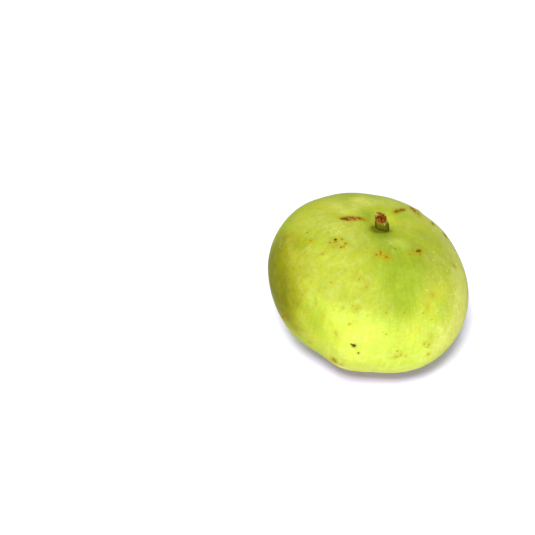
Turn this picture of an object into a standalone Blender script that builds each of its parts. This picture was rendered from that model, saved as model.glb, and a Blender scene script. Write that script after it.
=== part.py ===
"""Round gourd: a small green fruit, wider than tall, that stands on its blossom end.

Metres, +Z up. The front is -Y. The origin is at the bottom centre of the gourd's bounding box.
Azimuths are in degrees from +X, anticlockwise seen from above, so the front is 270.
Polar angles are in degrees from the stem end, so the widest ring is near 90.
"""

import math
from dataclasses import dataclass

import bmesh
import bpy
from mathutils import Matrix, Vector


@dataclass(frozen=True)
class Swell:
    """A low round rise in the fruit's side, or a dent where the height is negative."""

    azimuth: float
    polar: float
    spread: float
    height: float


@dataclass(frozen=True)
class Valley:
    """A soft groove that runs down the fruit's side, or a ridge where its depth is negative."""

    azimuth: float
    depth: float
    half_width: float
    middle: float
    reach: float


@dataclass(frozen=True)
class Basin:
    """A round dip in the end of the fruit, about its axis."""

    depth: float
    radius: float


@dataclass(frozen=True)
class Wave:
    """One wave of an uneven edge: its size, how many times it runs round, and where it starts."""

    size: float
    count: int
    start: float


# Fruit: overall form
HALF_WIDTH = 0.0388
HALF_DEPTH = 0.0347
HALF_HEIGHT = 0.0320
SHOULDER_POWER = 1.99
BASE_POWER = 1.94
LEAN = 6.6
DROOP = 0.134
DROOP_START = 95.0
DROOP_END = 165.0
FLAT_CUT = 0.00105
NEAR_CUT = 0.00012

# Fruit: the dip round the stem, in two steps, with a flat seat in its middle
STEM_BASINS = (Basin(0.0015, 0.0050), Basin(0.0016, 0.0120))
SEAT_RADIUS = 0.0030

# Fruit: the dip under the blossom end
BLOSSOM_BASIN = Basin(0.0028, 0.0050)

# Fruit: grooves and ridges that run down its sides, as a share of the local radius
# The first nine start at the stem basin, and the others shape the base.
VALLEYS = (
    Valley(14, 0.010, 11, 40, 30),
    Valley(52, 0.014, 12, 42, 32),
    Valley(92, 0.010, 11, 40, 30),
    Valley(131, 0.014, 12, 42, 32),
    Valley(168, 0.010, 11, 40, 30),
    Valley(206, 0.014, 13, 40, 30),
    Valley(245, 0.006, 10, 45, 30),
    Valley(287, 0.022, 13, 38, 34),
    Valley(336, 0.010, 11, 28, 22),
    Valley(214, -0.006, 14, 112, 34),
    Valley(236, 0.036, 16, 112, 36),
    Valley(256, -0.042, 16, 118, 38),
    Valley(280, 0.027, 16, 116, 36),
    Valley(60, 0.020, 15, 112, 34),
    Valley(82, -0.020, 15, 116, 36),
    Valley(110, 0.018, 15, 114, 34),
    Valley(160, -0.012, 15, 116, 34),
)

# Fruit: broad swells, as a share of the local radius
SWELLS = (
    Swell(300, 118, 30, 0.039),
    Swell(45, 48, 28, 0.020),
    Swell(150, 50, 24, 0.025),
)

# Fruit: mesh
FRUIT_SEGMENTS = 92
FRUIT_RINGS = 44
POLE_CROWDING = 0.22
CUT_TOLERANCE = 1e-6
SHARP_ANGLE = 50.0

# Stem
STEM_HEIGHT = 0.0060
STEM_FOOT_RADIUS = 0.00265
STEM_NECK_RADIUS = 0.00225
STEM_TOP_RADIUS = 0.00205
STEM_FLARE = 0.0011
STEM_TILT = -8.0
STEM_RIBS = 5
STEM_RIB_DEPTH = 0.035
STEM_TEAR = 0.00045
STEM_TEAR_WAVES = (Wave(0.6, 2, 2.4), Wave(0.5, 5, 0.7), Wave(0.35, 9, 1.9))
STEM_CUP = 0.0007
STEM_SEGMENTS = 36
STEM_RINGS = 12
STEM_CAP_RINGS = 4

# Dry flower remnant beneath
SCAR_RADIUS = 0.0027
SCAR_THICKNESS = 0.0006
SCAR_EDGE = 0.00022
SCAR_EDGE_WAVES = (Wave(0.05, 3, 0.5), Wave(0.04, 7, 0.0))
SCAR_CRUST_WAVES = (Wave(0.15, 5, 0.0),)
SCAR_RIM = 0.55
SCAR_RIM_WIDTH = 0.32
SCAR_SEGMENTS = 36
SCAR_RINGS = 7

# Gap between pieces that touch on the real gourd
GAP = 0.0003

LEAN_TURN = Matrix.Rotation(math.radians(LEAN), 3, "Y")


def power(value, exponent):
    """Raises a value's size to an exponent and keeps its sign."""
    return math.copysign(abs(value) ** exponent, value)


def smooth_step(value):
    """Eases from 0 to 1 as the value goes from 0 to 1."""
    value = min(max(value, 0.0), 1.0)
    return value * value * (3.0 - 2.0 * value)


def bell(distance, width):
    """A bell curve, 1 in the middle."""
    return math.exp(-((distance / width) ** 2))


def direction(azimuth, polar):
    """Unit vector for an azimuth and a polar angle in radians."""
    return Vector((
        math.sin(polar) * math.cos(azimuth),
        math.sin(polar) * math.sin(azimuth),
        math.cos(polar),
    ))


def lobe_factor(azimuth, polar):
    """How far the lobes, swells and dents move the skin in or out, as a factor."""
    factor = 1.0
    here = direction(azimuth, polar)
    for swell in SWELLS:
        middle = direction(math.radians(swell.azimuth), math.radians(swell.polar))
        factor += swell.height * bell(here.angle(middle), math.radians(swell.spread))
    for valley in VALLEYS:
        turn = azimuth - math.radians(valley.azimuth)
        turn = (turn + math.pi) % (2.0 * math.pi) - math.pi
        groove = bell(turn, math.radians(valley.half_width))
        groove *= bell(polar - math.radians(valley.middle), math.radians(valley.reach))
        factor -= valley.depth * groove * math.sqrt(max(math.sin(polar), 0.0))
    return factor


def skin_point(azimuth, polar):
    """Point of the fruit's skin in the fruit's own frame, its axis along Z, before the lean."""
    upper = math.cos(polar) > 0.0
    exponent = 2.0 / (SHOULDER_POWER if upper else BASE_POWER)
    factor = lobe_factor(azimuth, polar)
    across = power(math.sin(polar), exponent) * factor
    x = HALF_WIDTH * across * math.cos(azimuth)
    y = HALF_DEPTH * across * math.sin(azimuth)
    z = HALF_HEIGHT * power(math.cos(polar), exponent) * factor
    off_axis = math.hypot(x, y)
    if upper:
        for basin in STEM_BASINS:
            z -= basin.depth * bell(max(off_axis, SEAT_RADIUS), basin.radius)
    else:
        z += BLOSSOM_BASIN.depth * bell(off_axis, BLOSSOM_BASIN.radius)
    ease = smooth_step((DROOP_END - math.degrees(polar)) / (DROOP_END - DROOP_START))
    z -= DROOP * x * ease
    return Vector((x, y, z))


def waves(azimuth, parts):
    """Sum of the waves of an uneven edge at an azimuth in radians."""
    return sum(wave.size * math.sin(wave.count * azimuth + wave.start) for wave in parts)


def leaning(point):
    """Turns a point from the fruit's own frame into the frame it stands in."""
    return LEAN_TURN @ point


def new_material(name, color, roughness):
    """Makes a plain Principled material."""
    material = bpy.data.materials.new(name)
    material.use_nodes = True
    shader = material.node_tree.nodes["Principled BSDF"]
    shader.inputs["Base Color"].default_value = (*color, 1.0)
    shader.inputs["Roughness"].default_value = roughness
    shader.inputs["Metallic"].default_value = 0.0
    return material


def new_object(name, mesh, parent, material):
    """Puts a bmesh into a named object under its parent, and shades it smooth."""
    bmesh.ops.recalc_face_normals(mesh, faces=mesh.faces)
    data = bpy.data.meshes.new(name)
    mesh.to_mesh(data)
    mesh.free()
    data.shade_smooth()
    data.set_sharp_from_angle(angle=math.radians(SHARP_ANGLE))
    data.materials.append(material)
    thing = bpy.data.objects.new(name, data)
    bpy.context.scene.collection.objects.link(thing)
    thing.parent = parent
    return thing


def loft(mesh, rings):
    """Joins closed rings of equal count by quads, and returns their vertices."""
    verts = [[mesh.verts.new(point) for point in ring] for ring in rings]
    count = len(rings[0])
    for lower, upper in zip(verts, verts[1:]):
        for i in range(count):
            j = (i + 1) % count
            mesh.faces.new((lower[i], lower[j], upper[j], upper[i]))
    return verts


def close_end(mesh, ring, point):
    """Closes a ring with a fan of triangles round one point."""
    middle = mesh.verts.new(point)
    for i, vert in enumerate(ring):
        mesh.faces.new((vert, ring[(i + 1) % len(ring)], middle))


def build_fruit(parent):
    """The fruit: a sphere reshaped by the skin's formula, cut flat where it stands."""
    mesh = bmesh.new()
    bmesh.ops.create_uvsphere(mesh, u_segments=FRUIT_SEGMENTS, v_segments=FRUIT_RINGS, radius=1.0)
    for vert in mesh.verts:
        azimuth = math.atan2(vert.co.y, vert.co.x)
        polar = math.acos(min(max(vert.co.z, -1.0), 1.0))
        polar -= POLE_CROWDING * math.sin(2.0 * polar)
        vert.co = leaning(skin_point(azimuth, polar))
    ground = min(vert.co.z for vert in mesh.verts) + FLAT_CUT
    for vert in mesh.verts:
        if abs(vert.co.z - ground) < NEAR_CUT:
            vert.co.z = ground
    everything = list(mesh.verts) + list(mesh.edges) + list(mesh.faces)
    cut = bmesh.ops.bisect_plane(
        mesh, geom=everything, dist=CUT_TOLERANCE, plane_co=(0.0, 0.0, ground),
        plane_no=(0.0, 0.0, -1.0), clear_outer=True,
    )
    rim = [item for item in cut["geom_cut"] if isinstance(item, bmesh.types.BMEdge)]
    bmesh.ops.contextual_create(mesh, geom=rim)
    low = [min(vert.co[i] for vert in mesh.verts) for i in range(2)]
    high = [max(vert.co[i] for vert in mesh.verts) for i in range(2)]
    foot = Vector(((low[0] + high[0]) / 2.0, (low[1] + high[1]) / 2.0, ground))
    for vert in mesh.verts:
        vert.co -= foot
    skin = new_material("gourd_skin", (0.42, 0.56, 0.07), 0.45)
    new_object("gourd_body", mesh, parent, skin)
    return foot


def stem_outline(share):
    """Stem radius at a share of its height: flared at the foot, slim at the top."""
    straight = STEM_NECK_RADIUS + (STEM_TOP_RADIUS - STEM_NECK_RADIUS) * share
    flare = (STEM_FOOT_RADIUS - STEM_NECK_RADIUS) * bell(share * STEM_HEIGHT, STEM_FLARE)
    return straight + flare


def build_stem(parent, foot):
    """The cut stem: a ribbed tube of rings that turn from the sloping seat to its own tilt."""
    seat = leaning(skin_point(0.0, 0.0)) - foot
    seat_normal = leaning(Vector((DROOP, 0.0, 1.0)).normalized())
    axis = Matrix.Rotation(math.radians(STEM_TILT), 3, "Y") @ Vector((0.0, 0.0, 1.0))
    start = seat + seat_normal * GAP
    rings = []
    for k in range(STEM_RINGS + 1):
        share = k / STEM_RINGS
        normal = seat_normal.lerp(axis, smooth_step(share * 2.0)).normalized()
        side = Vector((0.0, 1.0, 0.0)).cross(normal).normalized()
        front = normal.cross(side)
        ring = []
        for i in range(STEM_SEGMENTS):
            azimuth = 2.0 * math.pi * i / STEM_SEGMENTS
            rib = 1.0 + STEM_RIB_DEPTH * smooth_step(share * 4.0) * math.cos(STEM_RIBS * azimuth)
            radius = stem_outline(share) * rib
            lift = STEM_TEAR * waves(azimuth, STEM_TEAR_WAVES) * share ** 4
            ring.append(
                start + axis * (STEM_HEIGHT * share + lift)
                + side * (radius * math.cos(azimuth)) + front * (radius * math.sin(azimuth))
            )
        rings.append(ring)
    rim = rings[-1]
    hub = start + axis * (STEM_HEIGHT - STEM_CUP)
    for k in range(1, STEM_CAP_RINGS):
        share = k / STEM_CAP_RINGS
        swelling = axis * (STEM_TEAR * math.sin(share * math.pi))
        rings.append([point.lerp(hub, share) + swelling for point in rim])
    mesh = bmesh.new()
    verts = loft(mesh, rings)
    close_end(mesh, verts[0], start)
    close_end(mesh, verts[-1], hub)
    new_object("stem", mesh, parent, new_material("stem_green_brown", (0.18, 0.13, 0.04), 0.7))


def build_blossom_scar(parent, foot):
    """The dry flower remnant: a thin lumpy crust that follows the dip it sits in."""
    upper = []
    lower = []
    for k in range(1, SCAR_RINGS + 1):
        share = k / SCAR_RINGS
        above = []
        below = []
        for i in range(SCAR_SEGMENTS):
            azimuth = 2.0 * math.pi * i / SCAR_SEGMENTS
            off_axis = SCAR_RADIUS * share * (1.0 + waves(azimuth, SCAR_EDGE_WAVES))
            polar = math.pi - off_axis / HALF_WIDTH
            skin = skin_point(azimuth, polar)
            crust = SCAR_THICKNESS * bell(share - SCAR_RIM, SCAR_RIM_WIDTH)
            crust *= 1.0 + waves(azimuth, SCAR_CRUST_WAVES)
            thickness = SCAR_EDGE + crust * (1.0 - share ** 6)
            above.append(leaning(skin - Vector((0.0, 0.0, GAP))) - foot)
            below.append(leaning(skin - Vector((0.0, 0.0, GAP + thickness))) - foot)
        upper.append(above)
        lower.append(below)
    hub = skin_point(0.0, math.pi)
    hub_crust = SCAR_EDGE + SCAR_THICKNESS * bell(SCAR_RIM, SCAR_RIM_WIDTH)
    mesh = bmesh.new()
    verts = loft(mesh, upper + lower[::-1])
    close_end(mesh, verts[0], leaning(hub - Vector((0.0, 0.0, GAP))) - foot)
    close_end(mesh, verts[-1], leaning(hub - Vector((0.0, 0.0, GAP + hub_crust))) - foot)
    new_object("blossom_scar", mesh, parent, new_material("dry_blossom", (0.08, 0.045, 0.02), 0.85))


def main():
    """Clears the scene and builds the gourd under one empty."""
    for thing in list(bpy.data.objects):
        bpy.data.objects.remove(thing, do_unlink=True)
    root = bpy.data.objects.new("round_gourd", None)
    bpy.context.scene.collection.objects.link(root)
    foot = build_fruit(root)
    build_stem(root, foot)
    build_blossom_scar(root, foot)


main()
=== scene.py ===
"""Round gourd on a plain white ground: the rind, the cut stem and the dry blossom end.

Metres, +Z up, the front at -Y. Sizes whose names end in _mm are in millimetres.
Places in the photograph are pixels of its 535 by 535 frame, x to the right and y down.
"""

import logging
import math
import random
from dataclasses import dataclass, field
from enum import Enum
from typing import Any, Iterable, Union

import bpy
import numpy as np
from mathutils import Euler, Matrix, Vector, noise
from mathutils.bvhtree import BVHTree


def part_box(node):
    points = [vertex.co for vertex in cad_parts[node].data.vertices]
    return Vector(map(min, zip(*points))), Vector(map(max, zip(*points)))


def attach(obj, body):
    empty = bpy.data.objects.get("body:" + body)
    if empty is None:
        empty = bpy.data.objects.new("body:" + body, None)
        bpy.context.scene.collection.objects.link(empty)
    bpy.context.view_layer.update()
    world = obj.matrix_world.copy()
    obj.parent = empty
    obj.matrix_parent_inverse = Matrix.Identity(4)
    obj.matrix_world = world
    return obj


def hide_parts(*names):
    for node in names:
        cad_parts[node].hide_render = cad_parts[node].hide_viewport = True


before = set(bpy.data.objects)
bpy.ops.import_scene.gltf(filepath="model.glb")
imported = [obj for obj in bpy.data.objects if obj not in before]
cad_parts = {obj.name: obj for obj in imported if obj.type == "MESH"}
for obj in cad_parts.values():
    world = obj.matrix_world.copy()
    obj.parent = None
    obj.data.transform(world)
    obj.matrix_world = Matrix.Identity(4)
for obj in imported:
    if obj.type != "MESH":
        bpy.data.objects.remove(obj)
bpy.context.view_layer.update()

LOG = logging.getLogger("round_gourd")
BODY = "root"
MM = 0.001
PHOTO_SIDE = 535
MERGE_DISTANCE = 1e-6
FACES_ALONG = 0.9
SLIVER_SIDES = 6
SLIVER_TAPER = (1.1, 0.95, 0.8, 0.6, 0.3)
SLIVER_LEAN = 0.12
SLIVER_BEND = 0.25
Colour = tuple[float, float, float]
Span = tuple[float, float]
Number = Union["Value", float]


class MarkKind(Enum):
    """The kinds of mark on the rind. Each value is the name of its attribute."""

    CORK = "mark_cork"
    SEAM = "mark_seam"
    TAN = "mark_tan"
    RUSSET = "mark_russet"
    PIT = "mark_pit"
    GREEN_DOT = "mark_green"
    FLECK = "mark_fleck"


class ZoneKind(Enum):
    """The kinds of soft change over the rind, of colour or, in RISE, of height. Each value is an
    attribute's name.
    """

    # Greener skin, with painted shade in the valley that runs down to the right of the stem.
    GREEN = "zone_green"
    # Ochre skin; on the left flank it also carries painted shade.
    OCHRE_AND_SHADE = "zone_ochre"
    # Brighter lime skin: on the lower front it is a painted highlight, elsewhere lime patches.
    LIME_AND_HIGHLIGHT = "zone_lime"
    DULL = "zone_dull"
    FLECKY = "zone_flecky"
    # Paler skin: along the fruit's outline as seen from the front it is a painted sheen, elsewhere pale
    # patches.
    PALE_AND_SHEEN = "zone_pale"
    # Painted shade: dark olive down the fruit's left flank.
    FLANK_SHADE = "zone_olive"
    # Painted shade round the stem's foot, dark olive.
    STEM_SHADE = "zone_basin"
    UNDER = "zone_under"
    RISE = "zone_rise"


@dataclass(frozen=True)
class Patch:
    """One mark or zone of the rind: its pixel, its size as seen, its turn in degrees, its strength."""

    x: float
    y: float
    long_mm: float
    wide_mm: float
    turn: float = 0.0
    strength: float = 1.0


MARKS: dict[MarkKind, tuple[Patch, ...]] = {
    MarkKind.CORK: (
        Patch(350.0, 218.5, 6.4, 1.7, -3.0), Patch(357.6, 218.2, 3.6, 1.1, -4.0),
        Patch(283.4, 317.0, 2.0, 1.0, -58.0),
    ),
    MarkKind.SEAM: (
        Patch(343.4, 218.5, 3.4, 1.1, -4.0), Patch(346.6, 219.3, 2.4, 1.0, -18.0),
        Patch(352.7, 217.4, 1.0, 0.8), Patch(359.2, 218.4, 1.6, 0.8, -10.0, 0.7),
        Patch(417.6, 250.9, 1.6, 1.4, 0.0, 0.8), Patch(420.0, 250.5, 1.6, 1.3, 0.0, 0.7),
    ),
    MarkKind.TAN: (
        Patch(335.4, 241.4, 2.8, 2.8), Patch(330.0, 242.6, 1.9, 1.5, 0.0, 0.75),
        Patch(341.9, 239.2, 1.8, 1.4, 0.0, 0.7), Patch(346.1, 243.2, 2.0, 1.4, 0.0, 0.75),
        Patch(341.4, 247.1, 2.2, 1.4, 0.0, 0.75), Patch(420.2, 254.4, 1.9, 2.2, 0.0, 0.75),
        Patch(410.1, 254.3, 2.6, 1.6, 0.0, 0.65), Patch(380.4, 253.0, 1.5, 3.4, 0.0, 0.8),
        Patch(376.5, 254.7, 2.2, 1.8, 0.0, 0.7), Patch(386.5, 256.8, 4.2, 3.0, -20.0, 0.7),
        Patch(310.6, 240.5, 1.9, 1.5), Patch(298.2, 240.6, 1.5, 1.2, 0.0, 0.8),
        Patch(330.4, 282.4, 2.0, 1.0, -20.0), Patch(349.6, 324.4, 1.8, 1.5),
        Patch(335.8, 333.0, 1.8, 4.2, 10.0, 0.55), Patch(343.3, 307.5, 1.2, 1.1, 0.0, 0.7),
        Patch(356.8, 308.3, 2.2, 1.6, 0.0, 0.65), Patch(352.9, 305.7, 1.4, 1.2, 0.0, 0.65),
        Patch(316.1, 304.1, 0.9, 2.6, 0.0, 0.7), Patch(322.0, 318.4, 1.0, 2.4, 0.0, 0.35),
        Patch(331.4, 324.2, 1.0, 2.0, 0.0, 0.35), Patch(309.6, 342.3, 1.8, 1.6, 0.0, 0.7),
        Patch(334.4, 360.6, 3.6, 1.8, -50.0), Patch(341.2, 364.7, 2.2, 1.4, -25.0, 0.8),
        Patch(332.0, 361.0, 3.6, 1.2, -45.0, 0.6), Patch(424.4, 344.0, 1.5, 1.6, 0.0, 0.85),
        Patch(428.8, 344.6, 1.6, 1.8, 0.0, 0.85), Patch(426.2, 342.0, 2.2, 1.0, 0.0, 0.7),
        Patch(427.6, 346.9, 1.8, 0.9, 0.0, 0.7), Patch(430.6, 337.0, 1.8, 3.0, 0.0, 0.4),
        Patch(428.5, 354.5, 1.7, 1.5, 0.0, 0.85), Patch(400.8, 355.2, 1.7, 2.0, 0.0, 0.8),
        Patch(396.6, 357.0, 3.2, 1.3, 12.0, 0.7), Patch(397.6, 351.2, 1.2, 0.9),
        Patch(405.8, 356.3, 1.4, 1.6, 0.0, 0.5), Patch(433.0, 295.3, 2.4, 2.4, 0.0, 0.5),
        Patch(428.0, 307.5, 1.4, 2.4, 0.0, 0.4), Patch(454.2, 265.6, 2.8, 1.1, -40.0, 0.8),
        Patch(366.5, 287.0, 1.6, 1.6, 0.0, 0.7), Patch(357.0, 272.0, 1.2, 1.0, 0.0, 0.7),
    ),
    MarkKind.RUSSET: (
        Patch(362.4, 218.9, 3.2, 1.0, -20.0, 0.7), Patch(397.2, 211.3, 3.6, 1.6, 16.0),
        Patch(401.8, 210.1, 4.0, 1.5, 6.0), Patch(411.4, 209.6, 2.6, 1.3, -30.0, 0.75),
        Patch(413.6, 211.7, 2.6, 1.2, -40.0, 0.7), Patch(417.6, 214.6, 1.8, 0.8, -40.0, 0.45),
        Patch(432.9, 223.6, 1.8, 0.8, -45.0, 0.8), Patch(445.2, 235.4, 2.4, 0.7, -58.0, 0.7),
        Patch(341.9, 239.2, 0.8, 0.8, 0.0, 0.9), Patch(330.0, 242.6, 0.9, 0.7, 0.0, 0.8),
        Patch(341.2, 247.2, 1.2, 0.8, 0.0, 1.0), Patch(345.2, 243.6, 1.0, 0.8, 0.0, 0.8),
        Patch(344.0, 246.6, 0.8, 0.7, 0.0, 0.8), Patch(337.6, 244.8, 0.7, 0.6, 0.0, 0.5),
        Patch(333.4, 247.6, 0.6, 0.6, 0.0, 0.5), Patch(376.6, 254.8, 1.2, 1.0, 0.0, 0.7),
        Patch(380.6, 252.9, 1.0, 2.4, 0.0, 0.85), Patch(386.2, 257.0, 2.2, 1.3, -20.0, 0.5),
        Patch(410.1, 254.3, 1.0, 0.8, 0.0, 0.5), Patch(420.2, 254.4, 1.1, 1.1, 0.0, 0.65),
        Patch(322.4, 254.0, 0.9, 0.8, 0.0, 0.5), Patch(310.8, 240.6, 0.7, 0.6, 0.0, 0.5),
        Patch(418.8, 250.9, 3.2, 1.8, 5.0, 0.8), Patch(333.7, 359.5, 1.9, 1.3, -50.0, 0.8),
        Patch(335.3, 361.7, 1.8, 1.1, -50.0, 0.6),
    ),
    MarkKind.PIT: (
        Patch(335.4, 239.2, 0.95, 0.9), Patch(354.0, 346.1, 1.65, 1.45, -15.0),
        Patch(351.8, 344.7, 1.3, 0.7, -30.0, 0.8), Patch(358.3, 353.4, 0.85, 0.85, 0.0, 0.6),
    ),
    MarkKind.GREEN_DOT: (
        Patch(395.2, 248.7, 1.2, 1.2), Patch(390.9, 246.4, 1.0, 1.0), Patch(307.2, 232.7, 1.2, 1.1),
        Patch(322.8, 253.8, 1.2, 1.1), Patch(359.0, 279.2, 3.0, 0.8, 54.0), Patch(386.2, 334.4, 1.0, 0.9),
        Patch(423.4, 313.2, 0.9, 0.9), Patch(432.0, 319.8, 0.9, 0.9), Patch(385.9, 312.8, 0.9, 0.9),
        Patch(404.1, 312.5, 0.9, 0.9),
    ),
    MarkKind.FLECK: (
        Patch(334.0, 228.0, 2.4, 0.5, -30.0), Patch(339.0, 231.0, 2.0, 0.5, -40.0),
        Patch(343.0, 226.0, 2.0, 0.5, -25.0), Patch(336.0, 226.5, 1.8, 0.5, -60.0),
        Patch(340.5, 228.0, 2.2, 0.5, -50.0), Patch(337.0, 233.5, 1.6, 0.5, 10.0),
        Patch(331.0, 232.0, 1.6, 0.5, 60.0), Patch(440.5, 231.0, 1.8, 0.6, -70.0),
        Patch(450.5, 251.0, 1.8, 0.6, -60.0), Patch(452.0, 283.0, 1.8, 0.6, -30.0),
        Patch(440.0, 283.0, 1.6, 0.6, 50.0), Patch(433.0, 230.0, 2.4, 0.6, -50.0),
        Patch(445.0, 238.0, 2.4, 0.6, -60.0), Patch(434.0, 252.0, 2.0, 0.6, -30.0),
        Patch(433.0, 260.0, 1.8, 0.6, 60.0), Patch(427.0, 290.0, 2.0, 0.6, -15.0),
        Patch(445.6, 321.8, 1.8, 0.7, 40.0),
    ),
}
ZONES: dict[ZoneKind, tuple[Patch, ...]] = {
    # Greener patches; the two in the valley down to the right of the stem also carry painted shade.
    ZoneKind.GREEN: (
        Patch(402.0, 280.0, 17.0, 32.0, -6.0, 0.85), Patch(340.0, 208.0, 30.0, 12.0, 5.0, 0.40),
        Patch(372.0, 260.0, 11.0, 9.0, 0.0, 0.25), Patch(424.0, 238.0, 13.0, 11.0, -30.0, 0.35),
        Patch(313.0, 322.0, 8.0, 14.0, 25.0, 0.55), Patch(405.0, 312.0, 12.0, 10.0, 0.0, 0.45),
        Patch(413.0, 257.0, 6.0, 5.0, 0.0, 0.45), Patch(368.0, 215.5, 6.0, 6.0, 0.0, 0.8),
        Patch(381.0, 236.6, 8.0, 5.4, 0.0, 1.5), Patch(403.0, 263.0, 18.0, 17.0, 0.0, 0.75),
    ),
    # Ochre patches; the three along the left flank also carry painted shade.
    ZoneKind.OCHRE_AND_SHADE: (
        Patch(287.0, 252.0, 12.0, 18.0, 20.0, 0.9), Patch(283.0, 290.0, 14.0, 34.0, 12.0, 0.9),
        Patch(306.0, 240.0, 14.0, 8.0, -10.0, 0.4),
        Patch(380.0, 256.0, 11.0, 6.0, -10.0, 0.75), Patch(425.0, 252.0, 12.0, 7.0, -20.0, 0.35),
        Patch(297.0, 274.0, 14.0, 20.0, 0.0, 0.5),
    ),
    # On the lower front these are a painted highlight over brighter lime skin.
    ZoneKind.LIME_AND_HIGHLIGHT: (
        Patch(352.0, 317.0, 15.0, 13.0, 0.0, 0.6), Patch(366.0, 330.0, 26.0, 26.0, 0.0, 1.0),
        Patch(400.0, 362.0, 34.0, 10.0, 0.0, 0.8), Patch(432.0, 340.0, 20.0, 22.0, -30.0, 0.8),
        Patch(320.0, 292.0, 14.0, 12.0, 0.0, 0.45),
    ),
    ZoneKind.DULL: (
        Patch(306.0, 268.0, 20.0, 22.0, 0.0, 0.6), Patch(362.0, 236.0, 18.0, 12.0, 0.0, 0.5),
        Patch(368.0, 276.0, 46.0, 34.0, 0.0, 0.55), Patch(430.0, 256.0, 16.0, 24.0, -20.0, 0.6),
        Patch(388.0, 257.0, 18.0, 12.0, 0.0, 0.4), Patch(334.0, 231.0, 14.0, 10.0, 0.0, 0.6),
        Patch(352.0, 243.0, 15.0, 8.0, 0.0, 0.4), Patch(456.0, 270.0, 8.0, 18.0, 0.0, 0.8),
        Patch(384.0, 311.0, 10.0, 7.0, 0.0, 0.4), Patch(428.0, 282.0, 8.0, 10.0, 0.0, 0.45),
        Patch(325.0, 226.0, 6.0, 6.0, 0.0, 0.5), Patch(399.0, 227.0, 6.0, 6.0, 0.0, 0.6),
        Patch(350.0, 286.0, 20.0, 16.0, 0.0, 0.5), Patch(368.0, 297.0, 16.0, 11.0, 0.0, 0.45),
        Patch(394.2, 256.0, 1.6, 13.0, -4.0, 0.9),
    ),
    ZoneKind.FLECKY: (
        Patch(447.0, 268.0, 16.0, 38.0, -15.0, 1.0), Patch(440.0, 325.0, 12.0, 12.0, 0.0, 0.7),
        Patch(338.0, 230.0, 12.0, 8.0, 0.0, 0.6),
    ),
    # Pale patches; those along the top, right and bottom of the outline are a painted sheen.
    ZoneKind.PALE_AND_SHEEN: (
        Patch(375.0, 201.0, 34.0, 5.0, 0.0, 0.6), Patch(414.0, 213.0, 16.0, 6.0, -30.0, 0.6),
        Patch(337.0, 206.0, 5.0, 3.0, 0.0, 0.5), Patch(356.0, 207.5, 4.0, 3.0, 0.0, 0.5),
        Patch(346.0, 212.5, 4.0, 2.4, 0.0, 0.35), Patch(361.0, 199.5, 7.0, 2.4, 0.0, 0.4),
        Patch(464.0, 296.0, 11.0, 36.0, 2.0, 1.2), Patch(447.0, 240.0, 6.0, 26.0, 30.0, 0.9),
        Patch(447.0, 339.0, 9.0, 26.0, -38.0, 1.0), Patch(395.0, 371.0, 40.0, 4.0, 0.0, 0.5),
        Patch(338.0, 366.0, 16.0, 4.0, -30.0, 0.6), Patch(338.0, 353.0, 14.0, 7.0, -20.0, 0.45),
        Patch(396.0, 243.0, 17.0, 5.0, -8.0, 0.4), Patch(350.0, 232.0, 16.0, 6.0, 0.0, 0.35),
        Patch(328.0, 219.0, 34.0, 10.0, 10.0, 0.35),
    ),
    # Painted shade down the left flank of the fruit.
    ZoneKind.FLANK_SHADE: (
        Patch(277.5, 290.0, 13.0, 54.0, 12.0, 1.25),
    ),
    # Painted shade at the stem's foot, most to its left and below it.
    ZoneKind.STEM_SHADE: (
        Patch(373.2, 228.6, 3.6, 2.8, 0.0, 1.0), Patch(376.6, 230.2, 2.6, 1.7, 0.0, 1.0),
        Patch(382.0, 231.6, 4.0, 1.2, 0.0, 0.8), Patch(387.6, 230.6, 2.6, 1.4, 0.0, 0.7),
        Patch(381.0, 236.0, 7.0, 3.4, 0.0, 0.25), Patch(391.0, 229.0, 2.4, 4.0, 20.0, 0.25),
    ),
    ZoneKind.RISE: (
        Patch(355.0, 370.0, 12.0, 5.0, 0.0, -0.45), Patch(392.0, 371.0, 12.0, 5.0, 0.0, 0.25),
        Patch(411.5, 209.8, 6.5, 3.0, -30.0, 0.55), Patch(418.4, 212.4, 3.0, 2.2, -40.0, 0.45),
    ),
}


@dataclass(frozen=True)
class Spot:
    """A mark or a zone laid on the skin: its middle, its two half axes, and how deep it goes."""

    kind: Enum
    middle: Vector
    along: Vector
    inward: Vector
    half_long: float
    half_wide: float
    depth: float
    strength: float

    def distance(self, places: np.ndarray) -> np.ndarray:
        """How far places lie from the middle, 1 being the edge.

        Args:
            places: Rows of places.

        Returns:
            A number for each row.
        """
        rel = places - np.array(self.middle)
        u = rel @ np.array(self.along) / self.half_long
        v = rel @ np.array(self.inward.cross(self.along)) / self.half_wide
        w = np.maximum(rel @ np.array(self.inward) / self.depth, 0.0)
        return np.sqrt(u * u + v * v + w * w)


class Value:
    """A shader socket that plain arithmetic acts on: each operator adds its Math node."""

    def __init__(self, graph: "Graph", socket: bpy.types.NodeSocket) -> None:
        """Keeps the socket and the graph that it belongs to."""
        self.graph = graph
        self.socket = socket

    def __add__(self, other: Number) -> "Value":
        """The sum."""
        return self.graph.math("ADD", self, other)

    def __sub__(self, other: Number) -> "Value":
        """The difference."""
        return self.graph.math("SUBTRACT", self, other)

    def __rsub__(self, other: Number) -> "Value":
        """The difference, with the socket on the right."""
        return self.graph.math("SUBTRACT", other, self)

    def __mul__(self, other: Number) -> "Value":
        """The product."""
        return self.graph.math("MULTIPLY", self, other)

    __radd__ = __add__
    __rmul__ = __mul__

    def step(self, low: float, high: float) -> "Value":
        """Eases from 0 at low to 1 at high, and stays there.

        Args:
            low: The value up to which the result is 0.
            high: The value from which the result is 1.

        Returns:
            The eased number.
        """
        return self.graph.node(
            "ShaderNodeMapRange",
            {"interpolation_type": "SMOOTHSTEP"},
            {"Value": self, "From Min": low, "From Max": high},
            "Result",
        )


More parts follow.
